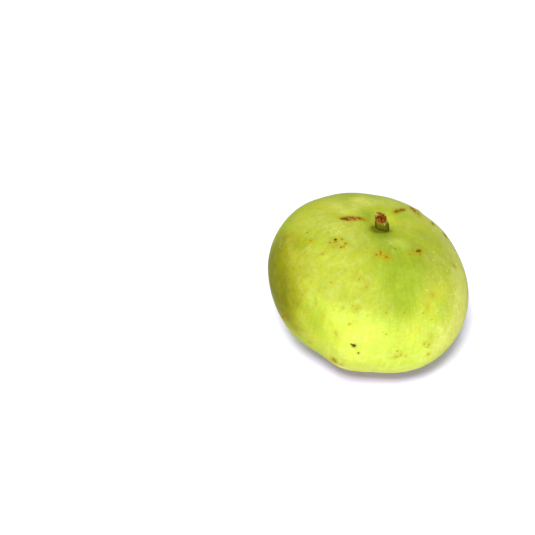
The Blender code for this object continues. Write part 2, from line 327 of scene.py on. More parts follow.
class Graph:
    """The nodes of a material or of the world, made by short calls."""

    def __init__(
        self, owner: Union[bpy.types.Material, bpy.types.World], shader: str = "Principled BSDF",
    ) -> None:
        """Takes over the nodes of a material or of the world.

        Args:
            owner: The material or the world.
            shader: The name of its shader node.
        """
        owner.use_nodes = True
        self.owner = owner
        self.tree = owner.node_tree
        self.shader = self.tree.nodes[shader]

    @classmethod
    def named(cls, name: str) -> "Graph":
        """Starts a new material of that name."""
        return cls(bpy.data.materials.new(name))

    @staticmethod
    def find(sockets: Iterable[bpy.types.NodeSocket], name: str) -> bpy.types.NodeSocket:
        """Finds a socket by its identifier, or else by its name.

        Args:
            sockets: A node's inputs or outputs.
            name: The identifier or the name.

        Returns:
            The socket.
        """
        sockets = list(sockets)
        for socket in sockets:
            if socket.identifier == name:
                return socket
        return next(socket for socket in sockets if socket.name == name)

    def feed(self, socket: bpy.types.NodeSocket, value: Any) -> None:
        """Links a socket to a value, or sets it to a constant.

        Args:
            socket: The input socket.
            value: A Value, a number, a colour or a vector.
        """
        if isinstance(value, Value):
            self.tree.links.new(value.socket, socket)
        elif isinstance(value, tuple) and socket.type == "RGBA":
            socket.default_value = (*value, 1.0)
        else:
            socket.default_value = value

    def node(self, kind: str, settings: dict[str, Any], sockets: dict[str, Any], output: str) -> Value:
        """Adds any node.

        Args:
            kind: The node's type.
            settings: Its own settings.
            sockets: Values or links for its inputs.
            output: The output that is wanted.

        Returns:
            That output.
        """
        made = self.tree.nodes.new(kind)
        for name, value in settings.items():
            setattr(made, name, value)
        for name, value in sockets.items():
            self.feed(self.find(made.inputs, name), value)
        return Value(self, self.find(made.outputs, output))

    def math(self, operation: str, first: Number, second: Number) -> Value:
        """Adds a Math node.

        Args:
            operation: Its operation.
            first: Its first input.
            second: Its second input.

        Returns:
            Its result.
        """
        made = self.tree.nodes.new("ShaderNodeMath")
        made.operation = operation
        self.feed(made.inputs[0], first)
        self.feed(made.inputs[1], second)
        return Value(self, made.outputs[0])

    def vector(self, operation: str, first: Any, second: Any = (0.0, 0.0, 0.0)) -> Value:
        """Adds a Vector Math node.

        Args:
            operation: Its operation.
            first: Its first vector.
            second: Its second vector, or the scale of a SCALE node.

        Returns:
            Its vector, or its number where it makes one.
        """
        output = "Value" if operation in ("DOT_PRODUCT", "LENGTH", "DISTANCE") else "Vector"
        sockets = {"Vector": first, "Scale" if operation == "SCALE" else "Vector_001": second}
        return self.node("ShaderNodeVectorMath", {"operation": operation}, sockets, output)

    def place(self) -> Value:
        """The place on the piece, in metres."""
        return self.node("ShaderNodeTexCoord", {}, {}, "Object")

    def attribute(self, name: str) -> Value:
        """A number kept on the piece's vertices."""
        return self.node("ShaderNodeAttribute", {"attribute_name": name}, {}, "Fac")

    def noise(self, vector: Value, size_mm: float, detail: float = 2.0, rough: float = 0.5) -> Value:
        """Soft noise round 0.5.

        Args:
            vector: Where to read it.
            size_mm: The size of its main features.
            detail: How many finer layers it has.
            rough: How strong those are.

        Returns:
            The noise.
        """
        sockets = {"Vector": vector, "Scale": 1.0 / (size_mm * MM), "Detail": detail, "Roughness": rough}
        return self.node("ShaderNodeTexNoise", {}, sockets, "Fac")

    def mix(self, share: Number, first: Any, second: Any, blend: str = "MIX") -> Value:
        """Mixes two colours.

        Args:
            share: The second colour's share.
            first: The first colour.
            second: The second colour.
            blend: The kind of mix.

        Returns:
            The mixed colour.
        """
        settings = {"data_type": "RGBA", "blend_type": blend, "clamp_factor": True}
        sockets = {"Factor_Float": share, "A_Color": first, "B_Color": second}
        return self.node("ShaderNodeMix", settings, sockets, "Result_Color")

    def bump(self, height: Value, depth_mm: float) -> Value:
        """Fine relief from a height.

        Args:
            height: The height, from 0 to 1.
            depth_mm: The relief's depth where the height goes from 0 to 1.

        Returns:
            The normal.
        """
        return self.node("ShaderNodeBump", {}, {"Distance": depth_mm * MM, "Height": height}, "Normal")

    def finish(self, constants: dict[str, Any], linked: dict[str, Value]) -> bpy.types.Material:
        """Sets the shader's own sockets.

        Args:
            constants: Sockets that are the same all over.
            linked: Sockets that change over the surface.

        Returns:
            The finished material.
        """
        for name, value in {**constants, **linked}.items():
            self.feed(self.shader.inputs[name], value)
        return self.owner


def select_only(thing: bpy.types.Object) -> None:
    """Makes one object the only one selected, and the active one.

    Args:
        thing: The object.
    """
    bpy.ops.object.select_all(action="DESELECT")
    thing.select_set(True)
    bpy.context.view_layer.objects.active = thing


def apply_modifier(thing: bpy.types.Object, kind: str, **settings: Any) -> None:
    """Adds a modifier and applies it.

    Args:
        thing: The object.
        kind: The modifier's type.
        settings: The modifier's settings.
    """
    select_only(thing)
    modifier = thing.modifiers.new(kind.lower(), kind)
    for name, value in settings.items():
        setattr(modifier, name, value)
    bpy.ops.object.modifier_apply(modifier=modifier.name)


def subdivide_smooth(thing: bpy.types.Object, levels: int) -> None:
    """Applies a Subdivision Surface of that many levels."""
    apply_modifier(thing, "SUBSURF", levels=levels, render_levels=levels)


def apply_place(thing: bpy.types.Object) -> None:
    """Moves an object's place, turn and scale into its mesh."""
    select_only(thing)
    bpy.ops.object.transform_apply(location=True, rotation=True, scale=True)


def vertex_array(mesh: bpy.types.Mesh, what: str = "co") -> np.ndarray:
    """Reads the vertices' places or normals.

    Args:
        mesh: The mesh.
        what: Either co or normal.

    Returns:
        An array with a row for each vertex.
    """
    flat = np.zeros(len(mesh.vertices) * 3)
    mesh.vertices.foreach_get(what, flat)
    return flat.reshape(-1, 3)


def write_places(mesh: bpy.types.Mesh, places: np.ndarray) -> None:
    """Writes the vertices' places back."""
    mesh.vertices.foreach_set("co", places.ravel())
    mesh.update()


def write_attribute(mesh: bpy.types.Mesh, name: str, values: np.ndarray) -> None:
    """Keeps a number on each vertex under a name."""
    attribute = mesh.attributes.new(name, "FLOAT", "POINT")
    attribute.data.foreach_set("value", values.astype(np.float32))


def bell(distance: Union[np.ndarray, float], width: float) -> Union[np.ndarray, float]:
    """A bell curve, 1 in the middle."""
    return np.exp(-((distance / width) ** 2))


def smooth_noise(places: np.ndarray, size_mm: float, seed: float) -> np.ndarray:
    """Soft noise from -1 to 1 at each place.

    Args:
        places: Rows of places.
        size_mm: The size of its features.
        seed: Where in the noise to start.

    Returns:
        A number for each row.
    """
    shift = Vector((seed, -seed, 2.0 * seed))
    return np.array([noise.noise(Vector(row) / (size_mm * MM) + shift) for row in places])


def open_mesh(thing: bpy.types.Object, action: str = "SELECT") -> None:
    """Goes into an object's edit mode.

    Args:
        thing: The object.
        action: SELECT to start with all of it selected, or DESELECT with none.
    """
    select_only(thing)
    bpy.ops.object.mode_set(mode="EDIT")
    bpy.ops.mesh.select_all(action=action)


def pick_faces(thing: bpy.types.Object, chosen: Iterable[bool]) -> None:
    """Goes into an object's edit mode with some of its faces selected.

    Args:
        thing: The object.
        chosen: For each face, whether it is one of them.
    """
    open_mesh(thing, "DESELECT")
    bpy.ops.object.mode_set(mode="OBJECT")
    thing.data.polygons.foreach_set("select", chosen)
    bpy.ops.object.mode_set(mode="EDIT")
    bpy.ops.mesh.select_mode(type="FACE")


def smooth_copy(node: str, name: str) -> bpy.types.Object:
    """Copies a CAD node's mesh, merges it and smooths it.

    Args:
        node: The node.
        name: The copy's name.

    Returns:
        The copy.
    """
    copy = bpy.data.objects.new(name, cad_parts[node].data.copy())
    bpy.context.scene.collection.objects.link(copy)
    open_mesh(copy)
    bpy.ops.mesh.remove_doubles(threshold=MERGE_DISTANCE)
    bpy.ops.mesh.tris_convert_to_quads()
    bpy.ops.object.mode_set(mode="OBJECT")
    subdivide_smooth(copy, 2)
    return copy


def dress(piece: bpy.types.Object, finish: bpy.types.Material, node: str) -> None:
    """Gives a piece its finish, and lets it stand for a CAD node.

    Args:
        piece: The piece.
        finish: Its material.
        node: The CAD node.
    """
    piece.data.materials.append(finish)
    select_only(piece)
    bpy.ops.object.shade_smooth()
    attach(piece, BODY)
    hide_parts(node)
    triangles = sum(len(face.vertices) - 2 for face in piece.data.polygons)
    LOG.info("%s: %d triangles, for %s", piece.name, triangles, node)


def build_sliver(
    length_mm: float, width_mm: float, flatness: float, draw: random.Random,
) -> bpy.types.Object:
    """Makes one dry sliver, tapered and bent, which stands up from the origin.

    Args:
        length_mm: Its length.
        width_mm: Its width at the foot.
        flatness: Its thickness as a share of its width.
        draw: The seeded draw of its bend.

    Returns:
        The sliver.
    """
    step = length_mm * MM / len(SLIVER_TAPER)
    depth = width_mm * MM / 2.0
    bpy.ops.object.select_all(action="DESELECT")
    bpy.ops.mesh.primitive_cylinder_add(
        vertices=SLIVER_SIDES, radius=depth, depth=depth, location=(0.0, 0.0, depth / 2.0),
    )
    sliver = bpy.context.object
    apply_place(sliver)
    pick_faces(sliver, [face.normal.z > FACES_ALONG for face in sliver.data.polygons])
    bend = draw.gauss(0.0, SLIVER_LEAN)
    for scale in SLIVER_TAPER:
        bpy.ops.mesh.extrude_region_move(TRANSFORM_OT_translate={"value": (bend * step, 0.0, step)})
        bpy.ops.transform.resize(value=(scale, scale, 1.0))
        bend += draw.gauss(0.0, SLIVER_BEND)
    bpy.ops.object.mode_set(mode="OBJECT")
    sliver.data.transform(Matrix.Diagonal((flatness, 1.0, 1.0, 1.0)))
    return sliver


def join_all(parts: list[bpy.types.Object], name: str) -> bpy.types.Object:
    """Joins objects into one piece.

    Args:
        parts: The objects.
        name: The piece's name.

    Returns:
        The piece.
    """
    select_only(parts[0])
    for part in parts:
        part.select_set(True)
    bpy.ops.object.join()
    parts[0].name = name
    return parts[0]


@dataclass
class PhotoView:
    """The camera of the photograph: where it stands, and the ray through each of its pixels."""

    lens_mm: float = 85.0
    sensor_mm: float = 36.0
    elevation: float = 45.0
    distance: float = 0.4768
    aim: Vector = field(default_factory=lambda: Vector((0.0, 0.0, 0.0304)))
    aim_pixel: Span = (368.6, 283.2)

    def __post_init__(self) -> None:
        """Works out the camera's turn and place."""
        self.turn = Euler((math.radians(90.0 - self.elevation), 0.0, 0.0)).to_matrix()
        self.place = self.aim - self.direction(*self.aim_pixel) * self.distance

    def direction(self, x: float, y: float) -> Vector:
        """The ray through a pixel, one metre deep.

        Args:
            x: The pixel's column.
            y: The pixel's row.

        Returns:
            The ray, from the camera.
        """
        scale = self.sensor_mm / self.lens_mm / PHOTO_SIDE
        middle = PHOTO_SIDE / 2.0
        return self.turn @ Vector(((x - middle) * scale, (middle - y) * scale, -1.0))

    def build(self) -> None:
        """Makes the camera."""
        bpy.ops.object.camera_add(location=self.place, rotation=self.turn.to_euler())
        camera = bpy.context.object
        camera.name = "photo_view"
        camera.data.lens = self.lens_mm
        camera.data.sensor_width = self.sensor_mm
        camera.data.clip_start = 0.01
        camera.data.dof.use_dof = False
        bpy.context.scene.camera = camera


@dataclass(frozen=True)
class Paint:
    """One layer of colour, laid where an attribute of the vertices is high."""

    kind: Enum
    light: Colour
    dark: Colour
    edge: Span
    share: float
    ragged: float
    size_mm: float
    mottle: float = 0.7
    mottle_edge: Span = (0.36, 0.64)

    def lay(self, graph: Graph, place: Value, colour: Value) -> tuple[Value, Value]:
        """Lays the layer over a colour.

        Args:
            graph: The material's nodes.
            place: The place on the piece.
            colour: The colour beneath.

        Returns:
            The new colour, and how far the layer covers.
        """
        rough = graph.noise(place, self.size_mm, detail=3.0, rough=0.65)
        inside = graph.attribute(self.kind.value) + (rough - 0.5) * self.ragged
        cover = inside.step(*self.edge) * self.share
        mottle = graph.noise(place, self.size_mm * self.mottle, rough=0.7).step(*self.mottle_edge)
        own = graph.mix(mottle, self.dark, self.light)
        return graph.mix(cover, colour, own), cover


@dataclass(frozen=True)
class RindFinish:
    """The rind: yellow-green, mottled and faintly streaked, with a dull bloom, its marks, and painted
    shade, a painted sheen and a painted highlight in some of its zones.
    """

    centre: Vector
    axis: Vector
    lime: Colour = (0.385, 0.415, 0.029)
    grassy: Colour = (0.270, 0.350, 0.015)
    bloom: Colour = (0.50, 0.54, 0.24)
    freckle: Colour = (0.26, 0.21, 0.006)
    streak_fleck: Colour = (0.62, 0.66, 0.30)
    grassy_edge: Span = (0.38, 0.62)
    broad_sway: float = 0.36
    fine_sway: float = 0.28
    warmth_sway: float = 0.22
    dust: float = 0.18
    dust_edge: Span = (0.45, 0.75)
    freckle_spacing_mm: float = 3.0
    freckle_edge: Span = (0.02, 0.20)
    freckle_share: float = 0.5
    dash_edge: Span = (0.60, 0.72)
    fleck_share: float = 0.60
    stray_flecks: float = 0.03
    tan_dryness: float = 0.4
    relief_mm: float = 0.12
    glow_through: float = 0.10
    glow_reach: tuple[float, float, float] = (0.004, 0.005, 0.001)
    girth_radius: float = 0.035
    zones: tuple[Paint, ...] = (
        # Brighter lime skin, partly a painted highlight on the lower front.
        Paint(ZoneKind.LIME_AND_HIGHLIGHT, (0.425, 0.52, 0.062), (0.395, 0.49, 0.048), (0.0, 1.1), 0.9, 1.0, 8.0),
        # Ochre skin, partly painted shade on the left flank.
        Paint(ZoneKind.OCHRE_AND_SHADE, (0.29, 0.275, 0.004), (0.23, 0.23, 0.001), (0.0, 1.1), 0.85, 0.9, 7.0),
        Paint(ZoneKind.DULL, (0.29, 0.32, 0.034), (0.25, 0.29, 0.022), (0.0, 1.1), 0.8, 0.9, 9.0),
        # Greener skin, partly painted shade in the valley.
        Paint(ZoneKind.GREEN, (0.220, 0.300, 0.019), (0.190, 0.260, 0.012), (0.0, 1.1), 0.85, 1.0, 8.0),
        # Paler skin, partly a painted sheen along the outline.
        Paint(ZoneKind.PALE_AND_SHEEN, (0.52, 0.54, 0.110), (0.47, 0.50, 0.078), (0.0, 1.1), 0.85, 0.8, 5.0),
        # Painted shade of the left flank, dark olive.
        Paint(ZoneKind.FLANK_SHADE, (0.145, 0.150, 0.001), (0.115, 0.118, 0.001), (0.0, 1.15), 0.93, 0.7, 9.0),
        # Painted shade round the stem's foot.
        Paint(ZoneKind.STEM_SHADE, (0.125, 0.135, 0.002), (0.095, 0.105, 0.001), (0.0, 1.1), 0.9, 0.7, 2.5),
        Paint(ZoneKind.UNDER, (0.46, 0.42, 0.18), (0.37, 0.34, 0.12), (0.0, 1.0), 0.85, 1.0, 7.0),
    )
    marks: tuple[Paint, ...] = (
        Paint(MarkKind.FLECK, (0.58, 0.60, 0.17), (0.48, 0.52, 0.11), (0.0, 0.7), 0.5, 0.8, 0.7),
        Paint(MarkKind.GREEN_DOT, (0.17, 0.175, 0.002), (0.12, 0.115, 0.001), (0.0, 0.9), 0.8, 0.8, 0.7),
        Paint(MarkKind.TAN, (0.315, 0.275, 0.010), (0.265, 0.22, 0.006), (-0.9, 0.6), 0.42, 1.3, 1.2),
        Paint(MarkKind.TAN, (0.29, 0.170, 0.003), (0.21, 0.115, 0.001), (0.15, 0.85), 0.68, 1.6, 0.6),
        Paint(MarkKind.RUSSET, (0.34, 0.28, 0.006), (0.29, 0.21, 0.004), (-0.9, 0.2), 0.55, 1.0, 0.9),
        Paint(MarkKind.RUSSET, (0.235, 0.130, 0.003), (0.13, 0.065, 0.001), (0.0, 0.6), 0.95, 0.9, 0.8),
        Paint(MarkKind.CORK, (0.33, 0.23, 0.008), (0.27, 0.16, 0.005), (-0.9, 0.2), 0.6, 1.0, 0.8),
        Paint(MarkKind.CORK, (0.42, 0.195, 0.045), (0.15, 0.055, 0.004), (0.0, 0.35), 0.95, 1.1, 1.0),
        Paint(MarkKind.SEAM, (0.17, 0.075, 0.003), (0.07, 0.022, 0.001), (0.0, 0.5), 0.95, 0.7, 0.6),
        Paint(MarkKind.PIT, (0.22, 0.19, 0.006), (0.16, 0.13, 0.004), (-1.0, 0.3), 0.5, 0.6, 0.6),
        Paint(MarkKind.PIT, (0.075, 0.035, 0.002), (0.025, 0.010, 0.001), (0.0, 0.45), 0.98, 0.6, 0.5),
    )

    def meridians(self, graph: Graph, place: Value, squeeze: float) -> Value:
        """Coordinates that change fast round the fruit's axis and slowly along it.

        Args:
            graph: The material's nodes.
            place: The place on the piece.
            squeeze: How slowly they change along the axis.

        Returns:
            The coordinates, as long as the fruit is wide.
        """
        out = graph.vector("SUBTRACT", place, tuple(self.centre))
        up = graph.vector("SCALE", tuple(self.axis), graph.vector("DOT_PRODUCT", out, tuple(self.axis)))
        spoke = graph.vector("NORMALIZE", graph.vector("SUBTRACT", out, up))
        spoke = graph.vector("SCALE", spoke, self.girth_radius)
        return graph.vector("ADD", spoke, graph.vector("SCALE", up, squeeze))

    def material(self) -> bpy.types.Material:
        """Builds the rind's material.

        Returns:
            The material.
        """
        graph = Graph.named("rind")
        place = graph.place()
        broad = graph.noise(place, size_mm=12.0)
        patch = graph.noise(place, size_mm=4.0, detail=3.0, rough=0.6)
        grain = graph.noise(place, size_mm=1.2, detail=3.0, rough=0.65)
        speck = graph.noise(place, size_mm=0.45, rough=0.6)
        streaky = self.meridians(graph, place, squeeze=0.12)
        streak = graph.noise(streaky, size_mm=1.5, detail=3.0, rough=0.6)

        grassy = broad * 0.5 + patch * 0.4 + grain * 0.2 - 0.05
        colour = graph.mix(grassy.step(*self.grassy_edge), self.lime, self.grassy)
        covers = {}
        for paint in self.zones:
            colour, covers[paint.kind] = paint.lay(graph, place, colour)
        # How much of the rind lies outside the painted shade of the stem's foot and the left flank; bloom
        # and freckles are kept out of that shade.
        outside_painted_shade = 1.0 - graph.math("MAXIMUM", covers[ZoneKind.STEM_SHADE], covers[ZoneKind.FLANK_SHADE])

        light = 1.0 + (patch - 0.5) * self.broad_sway + (grain - 0.5) * self.broad_sway
        light = light + (speck - 0.5) * self.fine_sway + (streak - 0.5) * self.fine_sway
        warmth = (graph.noise(place, size_mm=2.4, rough=0.6) - 0.5) * self.warmth_sway
        parts = {"Red": light + warmth, "Green": light, "Blue": light - warmth}
        tone = graph.node("ShaderNodeCombineColor", {}, parts, "Color")
        colour = graph.mix(1.0, colour, tone, "MULTIPLY")
        dusty = graph.noise(place, size_mm=3.0, detail=3.0, rough=0.7).step(*self.dust_edge)
        dusty = dusty * outside_painted_shade * (1.0 - covers[ZoneKind.GREEN]) * self.dust
        colour = graph.mix(dusty, colour, self.bloom)

        cells = {"Vector": place, "Scale": 1.0 / (self.freckle_spacing_mm * MM), "Randomness": 1.0}
        far = graph.node("ShaderNodeTexVoronoi", {}, cells, "Distance")
        freckle = 1.0 - (far + (grain - 0.5) * 0.25).step(*self.freckle_edge)
        freckle = freckle * broad.step(0.35, 0.65) * outside_painted_shade * self.freckle_share
        colour = graph.mix(freckle, colour, self.freckle)
        dash = graph.noise(self.meridians(graph, place, squeeze=0.6), size_mm=0.50, detail=1.0)
        flecky = graph.attribute(ZoneKind.FLECKY.value) * self.fleck_share + self.stray_flecks
        flecky = dash.step(*self.dash_edge) * flecky * patch.step(0.40, 0.60)
        colour = graph.mix(flecky, colour, self.streak_fleck)

        for paint in self.marks:
            colour, covers[paint.kind] = paint.lay(graph, place, colour)
        cork = covers[MarkKind.CORK]
        dry = graph.math("MAXIMUM", cork, covers[MarkKind.TAN] * self.tan_dryness)
        crumble = graph.noise(place, size_mm=0.5, detail=3.0, rough=0.7)
        constants = {
            "Subsurface Weight": self.glow_through,
            "Subsurface Radius": self.glow_reach,
            "Subsurface Scale": 1.0,
            "Specular IOR Level": 0.02,
        }
        linked = {
            "Base Color": colour,
            "Roughness": 0.52 + (patch - 0.5) * 0.2 + dry * 0.35,
            "Normal": graph.bump(grain * 0.5 + patch * 0.5 + cork * crumble * 2.5, self.relief_mm),
        }
        return graph.finish(constants, linked)


@dataclass(frozen=True)
class StalkFinish:
    """The stem: green at its foot, brown and fibrous above a ragged line."""

    collar: Colour = (0.056, 0.062, 0.001)
    foot: Colour = (0.046, 0.053, 0.001)
    green: Colour = (0.090, 0.098, 0.001)
    pale_green: Colour = (0.19, 0.20, 0.008)
    brown: Colour = (0.20, 0.058, 0.002)
    brown_light: Colour = (0.36, 0.145, 0.020)
    brown_dark: Colour = (0.040, 0.010, 0.001)
    fibre: Colour = (0.56, 0.44, 0.17)
    collar_edge: Span = (0.0, 0.14)
    green_edge: Span = (0.0, 0.40)
    pale_edge: Span = (0.36, 0.62)
    torn_edge: Span = (0.59, 0.70)
    ragged_start: Span = (0.54, 0.62)
    ragged_end: Span = (0.66, 0.78)
    grain_stretch: tuple[float, float, float] = (1.0, 1.0, 0.2)

    def material(self) -> bpy.types.Material:
        """Builds the stem's material.

        Returns:
            The material.
        """
        graph = Graph.named("stalk")
        place = graph.place()
        rise = graph.attribute("rise")
        strand = graph.attribute("strand")
        thin = graph.vector("MULTIPLY", place, self.grain_stretch)
        fine = graph.noise(thin, size_mm=0.25, rough=0.6)
        patch = graph.noise(place, size_mm=1.2, detail=3.0, rough=0.6)
        colour = graph.mix((rise + (patch - 0.5) * 0.3).step(*self.green_edge), self.foot, self.green)
        colour = graph.mix(rise.step(*self.collar_edge), self.collar, colour)
        pale = (rise + (patch - 0.5) * 0.2).step(*self.pale_edge) * 0.8
        colour = graph.mix(pale, colour, self.pale_green)
        line = rise + (strand - 0.5) * 0.30 + (fine - 0.5) * 0.25
        torn = line.step(*self.torn_edge)
        shade = strand * 0.7 + fine * 0.3
        brown = graph.mix(shade.step(0.38, 0.60), self.brown_dark, self.brown)
        brown = graph.mix(shade.step(0.62, 0.90), brown, self.brown_light)
        colour = graph.mix(torn, colour, brown)
        ragged = line.step(*self.ragged_start) * (1.0 - line.step(*self.ragged_end))
        colour = graph.mix(ragged * strand.step(0.55, 0.85) * 0.65, colour, self.fibre)
        colour = graph.mix(graph.attribute("tip"), colour, self.fibre)
        linked = {
            "Base Color": colour,
            "Roughness": 0.55 + torn * 0.25,
            "Normal": graph.bump(fine + patch * 0.5, depth_mm=0.10),
        }
        return graph.finish({"Specular IOR Level": 0.03}, linked)


@dataclass(frozen=True)
class DryFinish:
    """Dry plant matter: fibres of the torn stem, or the crust of the blossom end."""

    name: str
    light: Colour
    dark: Colour
    size_mm: float

    def material(self) -> bpy.types.Material:
        """Builds the material.

        Returns:
            The material.
        """
        graph = Graph.named(self.name)
        place = graph.place()
        patch = graph.noise(place, self.size_mm, detail=3.0, rough=0.65)
        linked = {
            "Base Color": graph.mix(patch.step(0.36, 0.64), self.dark, self.light),
            "Roughness": 0.75 + patch * 0.2,
            "Normal": graph.bump(patch, depth_mm=0.06),
        }
        return graph.finish({"Specular IOR Level": 0.05}, linked)


@dataclass(frozen=True)
class GroundFinish:
    """The ground: matt white paper, painted violet with a faint blue glow near the fruit's foot, a
    painted tint for the fruit's shadow.
    """

    paper: Colour = (0.825, 0.815, 0.95)
    shadow_tint: Colour = (0.82, 0.755, 0.99)
    shadow_tint_glow: Colour = (0.003, 0.0, 0.055)
    contact_middle: tuple[float, float, float] = (0.001, -0.010, 0.0)
    contact_reach: Span = (0.014, 0.032)
    far_glow: float = 0.75
    glow_reach: Span = (0.16, 0.70)

    def material(self) -> bpy.types.Material:
        """Builds the material, which glows far from the fruit so that it stays white to its edge.

        Returns:
            The material.
        """
        graph = Graph.named("white_ground")
        place = graph.place()
        tooth = graph.noise(place, size_mm=2.0)
        far = graph.vector("LENGTH", place)
        # Painted shadow tint: near the fruit's foot the paper turns violet and glows faintly blue.
        open_ground = graph.vector("DISTANCE", place, self.contact_middle).step(*self.contact_reach)
        colour = graph.mix(open_ground, self.shadow_tint, self.paper)
        shade = graph.mix(open_ground, self.shadow_tint_glow, (0.0, 0.0, 0.0))
        glow = far.step(*self.glow_reach) * self.far_glow
        linked = {
            "Base Color": colour,
            "Roughness": 0.9 + tooth * 0.05,
            "Emission Color": graph.mix(glow, shade, (1.0, 1.0, 1.0)),
        }
        return graph.finish({"Specular IOR Level": 0.1, "Emission Strength": 1.0}, linked)


@dataclass
class Rind:
    """The fruit's skin: a fine mesh laid on the CAD body, with relief and marks.

    Each swell is the size of its waves and their height.
    """

    marks: dict[MarkKind, tuple[Patch, ...]] = field(default_factory=lambda: MARKS)
    zones: dict[ZoneKind, tuple[Patch, ...]] = field(default_factory=lambda: ZONES)
    segments: int = 300
    rings: int = 180
    start_radius: float = 0.060
    refine_passes: int = 2
    refine_reach: float = 1.5
    swell_mm: tuple[Span, ...] = ((18.0, 0.14), (7.0, 0.05), (2.6, 0.014))
    cork_height_mm: float = 0.16
    cork_steepness: float = 2.0
    crumb_mm: float = 0.5
    seam_depth_mm: float = 0.20
    tan_depth_mm: float = 0.025
    pit_depth_mm: float = 0.55
    pit_steepness: float = 1.6
    dot_depth_mm: float = 0.03
    funnel_mm: float = 0.45
    funnel_radius_mm: float = 3.4
    # How far and how strongly painted shade is laid all round the stem's foot.
    stem_shade_reach_mm: float = 3.2
    stem_shade_strength: float = 0.36
    under_start: float = 0.66
    level_foot_mm: float = 0.5
    zone_depth_mm: float = 14.0
    least_facing: float = 0.35
    hidden_marks: int = 46
    hidden_kinds: tuple[MarkKind, ...] = (
        *[MarkKind.TAN] * 9, *[MarkKind.CORK] * 2, *[MarkKind.PIT] * 2,
        *[MarkKind.GREEN_DOT] * 3, *[MarkKind.FLECK] * 4,
    )
    hidden_mark_mm: Span = (0.8, 2.6)
    hidden_mark_width: Span = (0.35, 0.9)
    hidden_mark_strength: Span = (0.7, 1.0)
    hidden_zones: int = 16
    hidden_zone_kinds: tuple[ZoneKind, ...] = (
        *[ZoneKind.GREEN] * 4, *[ZoneKind.OCHRE_AND_SHADE] * 2, *[ZoneKind.DULL] * 2,
        *[ZoneKind.LIME_AND_HIGHLIGHT] * 3, *[ZoneKind.FLECKY] * 2,
    )
    hidden_zone_long_mm: Span = (12.0, 30.0)
    hidden_zone_wide_mm: Span = (10.0, 20.0)
    hidden_zone_strength: Span = (0.4, 0.9)
    hidden_facing: float = -0.05
    hidden_least: float = 0.004
    seed: int = 11

    def build(self, view: PhotoView) -> None:
        """Makes the skin.

        Args:
            view: The photograph's camera, which places the marks.
        """
        self.find_axis()
        skin = self.lay_on_body()
        spots = self.lay_marks(skin, view)
        self.refine(skin, [spot for spot in spots if isinstance(spot.kind, MarkKind)])
        self.shape(skin, spots)
        dress(skin, RindFinish(centre=self.centre, axis=self.axis).material(), "gourd_body")

    def find_axis(self) -> None:
        """Works out the fruit's axis, from the blossom end's middle to the stem's foot."""
        stem_low, stem_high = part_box("stem")
        scar_low, scar_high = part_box("blossom_scar")
        top = (stem_low + stem_high) / 2.0
        bottom = (scar_low + scar_high) / 2.0
        self.top = Vector((top.x, top.y, stem_low.z))
        self.bottom = Vector((bottom.x, bottom.y, scar_high.z))
        self.axis = (self.top - self.bottom).normalized()
        self.centre = (self.top + self.bottom) / 2.0

    def lay_on_body(self) -> bpy.types.Object:
        """Lays a fine ball on a smoothed copy of the CAD body.

        Returns:
            The skin, smooth and plain.
        """
        form = smooth_copy("gourd_body", "body_form")
        bpy.ops.object.select_all(action="DESELECT")
        bpy.ops.mesh.primitive_uv_sphere_add(
            segments=self.segments, ring_count=self.rings, radius=self.start_radius,
            location=self.centre, rotation=self.axis.to_track_quat("Z", "Y").to_euler(),
        )
        skin = bpy.context.object
        skin.name = "rind"
        apply_place(skin)
        apply_modifier(
            skin, "SHRINKWRAP", target=form, wrap_method="PROJECT",
            use_negative_direction=True, use_positive_direction=False,
        )
        bpy.data.objects.remove(form, do_unlink=True)
        return skin

    def lay_marks(self, skin: bpy.types.Object, view: PhotoView) -> list[Spot]:
        """Finds where each mark and zone lies on the skin.

        Args:
            skin: The skin.
            view: The photograph's camera.

        Returns:
            The marks and zones as laid.
        """
        tree = BVHTree.FromObject(skin, bpy.context.evaluated_depsgraph_get())
        spots = []
        for kind, patches in (self.marks | self.zones).items():
            for patch in patches:
                ray = view.direction(patch.x, patch.y).normalized()
                hit, normal, _, _ = tree.ray_cast(view.place, ray)
                if hit is None:
                    LOG.warning("no skin behind pixel %.1f, %.1f", patch.x, patch.y)
                    continue
                turn = math.radians(patch.turn)
                along = view.turn @ Vector((math.cos(turn), math.sin(turn), 0.0))
                size = (patch.long_mm, patch.wide_mm)
                spots.append(self.spot(kind, hit, along, ray, size, normal, patch.strength))
        return spots + self.hidden_spots(tree, view)

    def hidden_spots(self, tree: BVHTree, view: PhotoView) -> list[Spot]:
        """Draws marks and zones for the side that the camera can't see.

        Args:
            tree: The skin.
            view: The photograph's camera.

        Returns:
            The marks, and the zones after them.
        """
        spots = []
        draw = random.Random(self.seed)
        toward = (view.place - self.centre).normalized()
        while len(spots) < self.hidden_marks + self.hidden_zones:
            way = Vector([draw.gauss(0.0, 1.0) for _ in range(3)]).normalized()
            hit, normal, _, _ = tree.ray_cast(self.centre + way * self.start_radius, -way)
            if hit is None or hit.z < self.hidden_least or normal.dot(toward) > self.hidden_facing:
                continue
            lean = Vector([draw.gauss(0.0, 1.0) for _ in range(3)])
            along = (lean - normal * lean.dot(normal)).normalized()
            if len(spots) < self.hidden_marks:
                kind = draw.choice(self.hidden_kinds)
                long_mm = draw.uniform(*self.hidden_mark_mm)
                size = (long_mm, long_mm * draw.uniform(*self.hidden_mark_width))
                strength = draw.uniform(*self.hidden_mark_strength)
            else:
                kind = draw.choice(self.hidden_zone_kinds)
                size = (draw.uniform(*self.hidden_zone_long_mm), draw.uniform(*self.hidden_zone_wide_mm))
                strength = draw.uniform(*self.hidden_zone_strength)
            spots.append(self.spot(kind, hit, along, -normal, size, normal, strength))
        return spots

